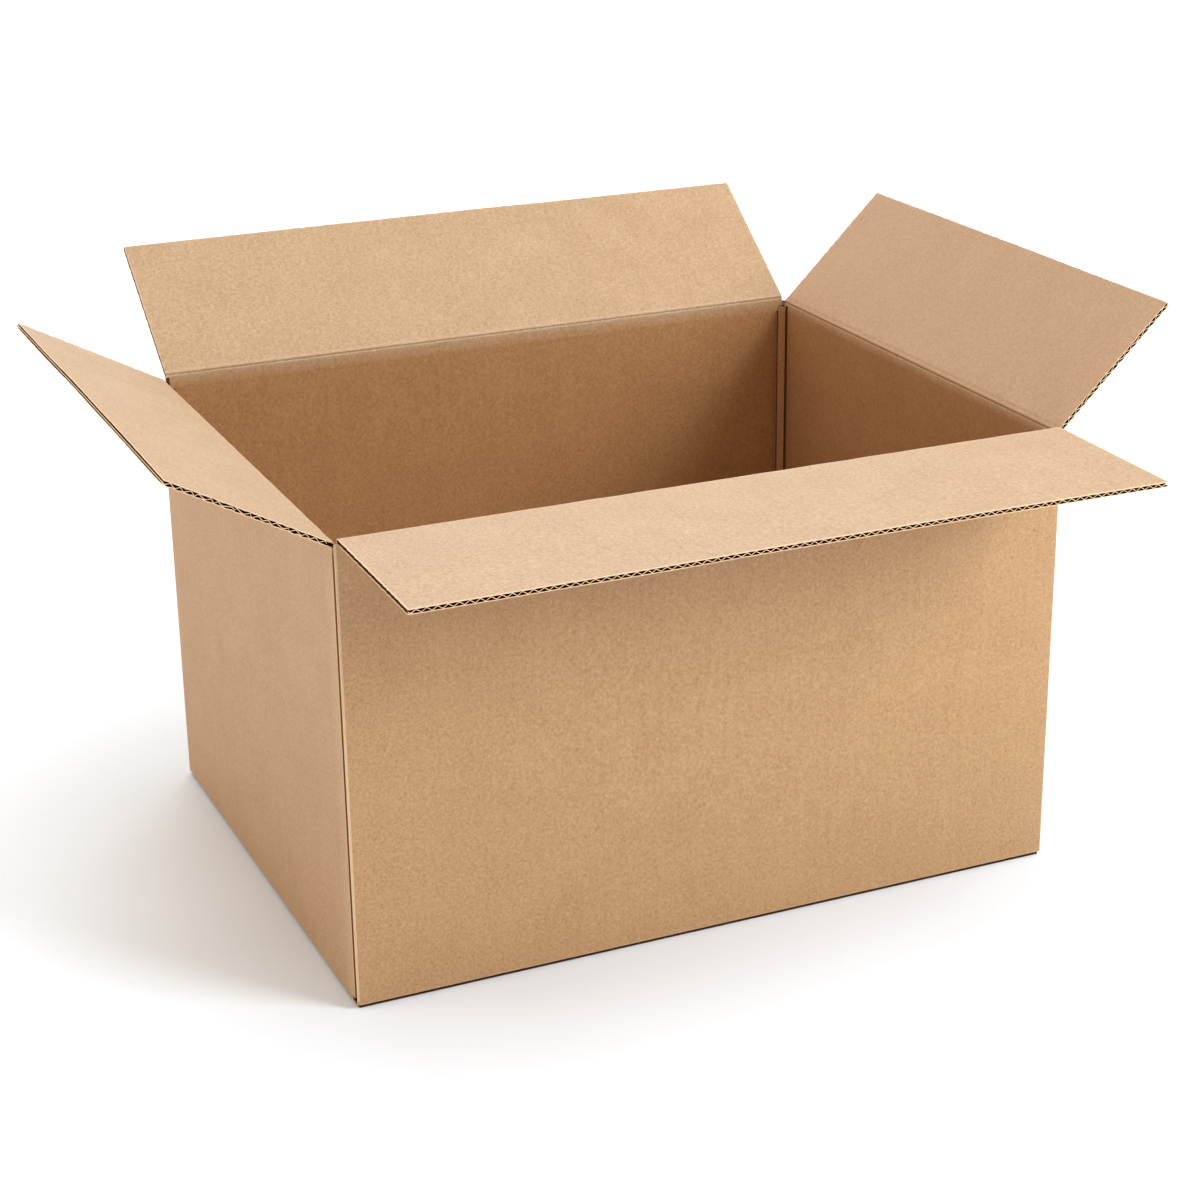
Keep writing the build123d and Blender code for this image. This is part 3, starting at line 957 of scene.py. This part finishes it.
count_out, count_in = outside.shape[1], inside.shape[1]
wall_points = np.concatenate([outside.reshape(-1, 3), inside.reshape(-1, 3)])
first_in = outside.shape[0] * count_out
top_out, top_in = first_in - count_out, first_in + (inside.shape[0] - 1) * count_in
outer_skin = ring_faces(outside.shape[0], count_out, 0)
inner_skin = ring_faces(inside.shape[0], count_in, first_in)[:, ::-1]
top_cap = facing(cap_faces(outside[-1], top_out, inside[-1], top_in), wall_points, 1)
foot_cap = facing(cap_faces(outside[0], 0, inside[0], first_in), wall_points, -1)
wall_faces = [*outer_skin.tolist(), *inner_skin.tolist(), *top_cap.tolist(), *foot_cap.tolist()]
print("faces outside", len(outer_skin), "inside", len(inner_skin), "caps", len(top_cap), len(foot_cap))

# %% [markdown]
# ## The papers of the walls
# The outside is outer liner and the inside inner liner, with cut paper on top. The foot, the joint's slot,
# and the dips and gaps beside the beads get the near-black paper of the flutes, a painted shade. Faces are
# picked by their column round the wall, because the plan's lines say which column is which.

# %% The papers of the walls
joint_points = 12
skins = [len(outer_skin), len(inner_skin), len(top_cap), len(foot_cap)]
wall_pick = np.repeat([0, 1, 2, 3], skins)
column = np.arange(len(outer_skin)) % count_out - (count_out - joint_points)
above_foot = np.arange(len(outer_skin)) // count_out >= foot_steps
outer_pick = wall_pick[: len(outer_skin)]
# painted shade: the joint's slot and hole get the near-black paper
outer_pick[above_foot & (column >= 4) & (column <= 6)] = 3
outer_pick[above_foot & (column >= 7) & (column <= 8)] = 2
halfway = np.abs(inner_plan + np.roll(inner_plan, -1, 0)) / 2
in_gap = halfway[:, 0] > room_x + 0.5 * mm
in_dip = (halfway[:, 1] > room_y + 0.3 * mm) & (halfway[:, 0] > room_x - bead - 0.3 * mm)
inner_pick = wall_pick[len(outer_skin) : len(outer_skin) + len(inner_skin)]
# painted shade: the dips and gaps beside the beads get the near-black paper
inner_pick[np.tile(in_gap | in_dip, inside.shape[0] - 1)] = 3
print("dark faces", int((wall_pick == 3).sum()), "of", len(wall_pick))

# %% [markdown]
# ## The wear and painted light of the walls
# The foot's fold and the lip of the joint are lighter, partly rubbed so that the pale inside of the paper
# shows, partly a painted highlight. The fold behind the lip is lighter towards the slot, and less so near
# the top. The slot and the gaps turn brown where light gets in, a painted light on their painted shade.

# %% The wear and painted light of the walls
foot_wear_and_highlight, lip_wear_and_highlight, fade_run = 0.35, 0.6, 30 * mm
inner_sheet_start = 3.0  # metres along the flat paper, so that the inside's streaks are others


def girth(plan):
    """The way round a closed line, in metres, at each of its points."""
    return np.concatenate([[0], np.cumsum(np.linalg.norm(np.diff(plan, axis=0), axis=1))])


def flat_sheet(levels, around):
    """Where a skin's points lie on the flat paper: the height, and the way round."""
    return np.stack(np.broadcast_arrays(levels[..., 2], around[None, :], 0.0), -1).reshape(-1, 3)


flat_out = flat_sheet(outside, girth(tall_plan))
flat_in = flat_sheet(inside, girth(inner_plan) + inner_sheet_start)
foot_end = len(foot_rows)
slot_row = foot_end + len(hole_rows)
outer_wear_and_light = np.zeros(outside.shape[:2])
# the foot's fold is lighter by wear and by a painted highlight
outer_wear_and_light[3:foot_end, :] = foot_wear_and_highlight
# the lip is lighter by wear and by a painted highlight
outer_wear_and_light[slot_row:, -5:-1] = lip_wear_and_highlight
fade = np.clip((wall_top - outside[slot_row:, :1, 2]) / fade_run, 0, 1)
outer_wear_and_light[slot_row:, -12:-7] = np.linspace(0.15, 0.5, 5) * fade
# painted light: the slot's near-black paper turns brown
outer_wear_and_light[slot_row:, -8:-5] = 1.0
# painted light: the gaps' near-black paper turns brown
open_gap = (np.abs(inner_plan[:, 0]) > room_x + 0.1 * mm) | (np.abs(inner_plan[:, 1]) > room_y + 1.2 * mm)
inner_painted_light = np.tile(open_gap.astype(float), (inside.shape[0], 1))
wall_papers = [outer_liner, inner_liner, cut_paper, painted_shade_paper]
walls = make_piece("case_walls", wall_points, wall_faces, wall_papers, wall_pick,
                   painted_shade=how_deep(wall_points[:, 2]),
                   wear_and_painted_light=np.concatenate([outer_wear_and_light.ravel(), inner_painted_light.ravel()]),
                   sheet=np.concatenate([flat_out, flat_in]), sharp=40.0)
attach(walls, "case")
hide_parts("case_body")

# %% [markdown]
# ## The corner posts
# Between two flaps the slots are cut down to the wall, and what is left standing at each corner is a short
# post with the fold's rounded outside, its bead inside, and a cut top, which at the rear gets the near-black
# paper of painted shade. The rear right corner stands taller, up to the score. Each post is a closed line
# pulled up from the wall's top.

# %% The corner posts
post_x, post_y = fold_radius, 4.6 * mm
rear_right_top, rear_left_trim = 367.0 * mm, 3.0 * mm
seat = 0.01 * mm  # how far a post reaches into the wall


def post(name, line, top, sides, lid_paper, wear_and_painted_light=0.0):
    """A short upright block on a closed plan, from the wall top up, with a lid of its own paper."""
    foot, head = (np.column_stack([line, np.full(len(line), h)]) for h in (wall_top - seat, top))
    points = np.concatenate([foot, head])
    lid = np.array(tessellate_polygon([[Vector((*p, 0)) for p in line]]))
    side = ring_faces(2, len(line), 0)
    area = (line[:, 0] * np.roll(line[:, 1], -1) - line[:, 1] * np.roll(line[:, 0], -1)).sum()
    side = side if area > 0 else side[:, ::-1]
    upper, lower = facing(lid + len(line), points, 1), facing(lid, points, -1)
    faces = [*side.tolist(), *upper.tolist(), *lower.tolist()]
    pick = np.repeat([0, 1, 1], [len(side), len(lid), len(lid)])
    bare = np.full(len(points), wear_and_painted_light)
    piece = make_piece(name, points, faces, [sides, lid_paper], pick, wear_and_painted_light=bare, sharp=40.0)
    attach(piece, "case")


fold_middle = (half_length - fold_radius, half_width - fold_radius)
fold_outside = arc_of(fold_middle, fold_radius, 90, 0, fold_steps)
post_front = [(half_length, half_width - post_y), (room_x - bead_step, half_width - post_y)]
post_back = [(half_length - post_x, half_width - board - bead_step)]
post_line = np.concatenate([fold_outside, post_front, bead_line[::-1], post_back])
# painted shade: dark lids at the rear corners
post("rear_right_post", post_line, post_top, outer_liner, painted_shade_paper)
corner_line = np.concatenate([fold_outside, post_front, [(room_x - bead_step, half_width)]])
post("rear_right_corner", corner_line, rear_right_top, outer_liner, painted_shade_paper)
post("rear_left_post", post_line * (-1, 1), post_top - rear_left_trim, outer_liner, painted_shade_paper)
post("front_right_post", post_line * (1, -1), post_top, outer_liner, outer_liner)

# %% [markdown]
# ## The top of the glued joint
# At the joint it is the front panel's cut edge that goes on up to the score: a front liner with a bare
# edge, lighter by wear and by a painted highlight, the wave, near-black as a painted shade, which stands
# back, and a back liner. They are small upright blocks, one behind the other.

# %% The top of the glued joint
joint_front_top, joint_back_top = 368.6 * mm, 366.5 * mm
wave_setback, back_setback = 2.0 * mm, 1.6 * mm


def block(low, high):
    """The plan of a block at the joint, between two corners counted from the outside of the case."""
    return np.array([low, (high[0], low[1]), high, (low[0], high[1])]) + (-half_length, -half_width)


bare_edge = block((0, 0), (lip_bare, joint_lip))
front_block = block((lip_bare, 0), (post_x, joint_lip))
wave_block = block((wave_setback, joint_lip), (post_x, board - liner))
back_block = block((back_setback, board - liner), (post_x, board))
post("joint_front_edge", bare_edge, joint_front_top, outer_liner, cut_paper, lip_wear_and_highlight)
post("joint_front_liner", front_block, joint_front_top, outer_liner, cut_paper)
# painted shade: the wave block is near-black paper
post("joint_wave", wave_block, joint_back_top, painted_shade_paper, painted_shade_paper)
post("joint_back_liner", back_block, joint_back_top, cut_paper, cut_paper)

# %% [markdown]
# ## A flat panel
# The glued lap and the four bottom flaps are flat pieces of board whose edges lie in shadow; the rims of
# the front and rear bottom flaps get the near-black paper, a painted shade for the dark line under the
# wall's foot, and down inside the faces get the darker browns of painted shade. No open flute shows there,
# so a slab with a slightly uneven face is enough.

# %% A flat panel
panel_steps, panel_border, panel_rim_worn = 36, 1.0 * mm, 0.15
swell_height, swell_first, swell_second = 0.15 * mm, 120 * mm, 150 * mm


def panel(name, low, high, seed, rim_paper, thin=2):
    """A flat piece of board between two corners, thin in one direction: its face swells by the product of
    two drifts, a fraction of a millimetre, and its cut rim has a paper of its own."""
    low, high = np.array(low), np.array(high)
    first, second = [i for i in range(3) if i != thin]
    a = edge_steps(low[first], high[first], panel_steps, panel_border)[:, None]
    b = edge_steps(low[second], high[second], panel_steps, panel_border)[None, :]
    inner = ((a > low[first]) & (a < high[first]) & (b > low[second]) & (b < high[second])).astype(float)
    swell = swell_height * inner * drift(a, swell_first, seed) * drift(b, swell_second, seed + 1)

    def face(depth):
        """The grid at one side of the board."""
        grid = np.zeros((a.size, b.size, 3))
        grid[..., first], grid[..., second], grid[..., thin] = a, b, depth
        return grid

    points, quads, groups = closed_sheet(face(high[thin] + swell), face(low[thin]))
    flat = points[:, [first, second, thin]]
    wear_and_painted_light = np.tile((1 - inner).ravel(), 2) * panel_rim_worn
    papers = [inner_liner, outer_liner, rim_paper]
    # painted shade: the darker browns down inside
    painted_shade = how_deep(points[:, 2])
    piece = make_piece(name, points, quads, papers, groups, wear_and_painted_light=wear_and_painted_light, painted_shade=painted_shade, sheet=flat)
    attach(piece, "case")


# %% [markdown]
# ## The lap and the bottom
# The left wall ends in a lap that is glued behind the front panel. Below, the end flaps are folded in first
# and the long flaps close over them, meeting in a seam along the middle.

# %% The lap and the bottom
lap_width, lap_foot, lap_top = 36.0 * mm, 10.0 * mm, 357.0 * mm
seam, bury, bottom_trim = 0.25 * mm, 0.3 * mm, 2.2 * mm
lap_low = (-room_x - bury, -room_y - bury, lap_foot)
lap_high = (-room_x + lap_width, -room_y + board, lap_top)
panel("joint_lap", lap_low, lap_high, 301, cut_paper, thin=1)
foot_x, foot_y = half_length - bottom_trim, half_width - bottom_trim
# painted shade: near-black rims for the dark line round the foot
panel("front_bottom_flap", (-foot_x, -foot_y, 0), (foot_x, -seam, board), 311, painted_shade_paper)
panel("rear_bottom_flap", (-foot_x, seam, 0), (foot_x, foot_y, board), 321, painted_shade_paper)
bottom_reach = half_width - half_board - seam
end_y = half_width - end_flap_inset
inner_x = half_length - half_board - bottom_reach
panel("left_bottom_flap", (-room_x - bury, -end_y, board), (-inner_x, end_y, 2 * board), 331, cut_paper)
panel("right_bottom_flap", (inner_x, -end_y, board), (room_x + bury, end_y, 2 * board), 341, cut_paper)

# %% [markdown]
# ## The studio floor
# The box stands on a white table that runs into the background further off. One large matt square does it.
# It gives off a little light of its own, a painted light that grows with the distance from the box: it
# lightens the floor's shadow away from the foot, so only the soft shadow round the foot stays.

# %% The studio floor
floor_size = 400.0
near_start, near_end, near_strength = 0.05, 0.6, 0.12  # metres from the box, and how bright
far_start, far_end, far_strength = 1.2, 5.0, 0.45

corners = np.array([(-1, -1, 0), (1, -1, 0), (1, 1, 0), (-1, 1, 0)]) * floor_size / 2
floor_mesh = bpy.data.meshes.new("floor")
floor_mesh.from_pydata(corners.tolist(), [], [(0, 1, 2, 3)])
floor = bpy.data.objects.new("floor", floor_mesh)
bpy.context.scene.collection.objects.link(floor)
floor_paint = bpy.data.materials.new("white_studio_floor")
floor_paint.use_nodes = True
tree = floor_paint.node_tree
floor_shader = tree.nodes["Principled BSDF"]
floor_shader.inputs["Base Color"].default_value = tone("#EEF5FA")
floor_shader.inputs["Roughness"].default_value = 0.9
floor_shader.inputs["Specular IOR Level"].default_value = 0.1
floor_shader.inputs["Emission Color"].default_value = tone("#FFFFFF")
spot = add(tree, "TexCoord").outputs["Object"]
box_half = (half_length, half_width, 0)
beyond = add(tree, "VectorMath", {0: spot}, operation="ABSOLUTE").outputs[0]
beyond = add(tree, "VectorMath", {0: beyond, 1: box_half}, operation="SUBTRACT").outputs[0]
beyond = add(tree, "VectorMath", {0: beyond, 1: (0, 0, 0)}, operation="MAXIMUM").outputs[0]
away = add(tree, "VectorMath", {0: beyond}, operation="LENGTH").outputs["Value"]
# painted light: the floor glows, more away from the box
near_glow = {0: away, 1: near_start, 2: near_end, 3: 0.0, 4: near_strength}
far_glow = {0: away, 1: far_start, 2: far_end, 3: 0.0, 4: far_strength}
near_glow, far_glow = (
    add(tree, "MapRange", glow, interpolation_type="SMOOTHSTEP").outputs[0] for glow in (near_glow, far_glow)
)
glow = add(tree, "Math", {0: near_glow, 1: far_glow}, operation="ADD").outputs[0]
tree.links.new(glow, floor_shader.inputs["Emission Strength"])
floor_mesh.materials.append(floor_paint)
print("floor", floor_size, "m wide")

# %% [markdown]
# ## The studio lamps
# A warm white surround and five soft lamps, at the right, front, back, left and top, all turned to the box.
# The front one lights the front wall, the back and top ones the flaps and the floor, and the inside stays a
# deep brown. Large lamps are used, since a shadow is as soft as its lamp is large.

# %% The studio lamps
surround_strength = 0.56
box_middle = Vector((0, 0, 0.2))

surround = bpy.data.worlds.new("white_surround")
surround.use_nodes = True
surround.node_tree.nodes["Background"].inputs["Color"].default_value = tone("#FFF1E7")
surround.node_tree.nodes["Background"].inputs["Strength"].default_value = surround_strength
bpy.context.scene.world = surround


def soft_lamp(name, lamp_place, size, power, colour):
    """A square soft lamp at a place, turned to the middle of the box."""
    data = bpy.data.lights.new(name, "AREA")
    data.size, data.energy, data.color = size, power, tone(colour)[:3]
    lamp = bpy.data.objects.new(name, data)
    bpy.context.scene.collection.objects.link(lamp)
    lamp.location = lamp_place
    lamp.rotation_euler = (box_middle - lamp.location).to_track_quat("-Z", "Y").to_euler()
    print(name, power, "W")


soft_lamp("right_lamp", (3.0, 0.0, 2.5), 2.0, 20.0, "#F6FBFF")
soft_lamp("front_lamp", (1.65, -1.95, 1.7), 1.2, 71.0, "#EFF7FF")
soft_lamp("back_lamp", (0.8, 4.0, 3.2), 4.0, 127.0, "#F0F8FF")
soft_lamp("left_lamp", (-2.6, 0.4, 1.0), 1.6, 21.0, "#FFFBF3")
soft_lamp("top_lamp", (0.0, 0.0, 4.0), 3.0, 63.0, "#FAFDFF")
bpy.context.scene.view_settings.view_transform = "Standard"
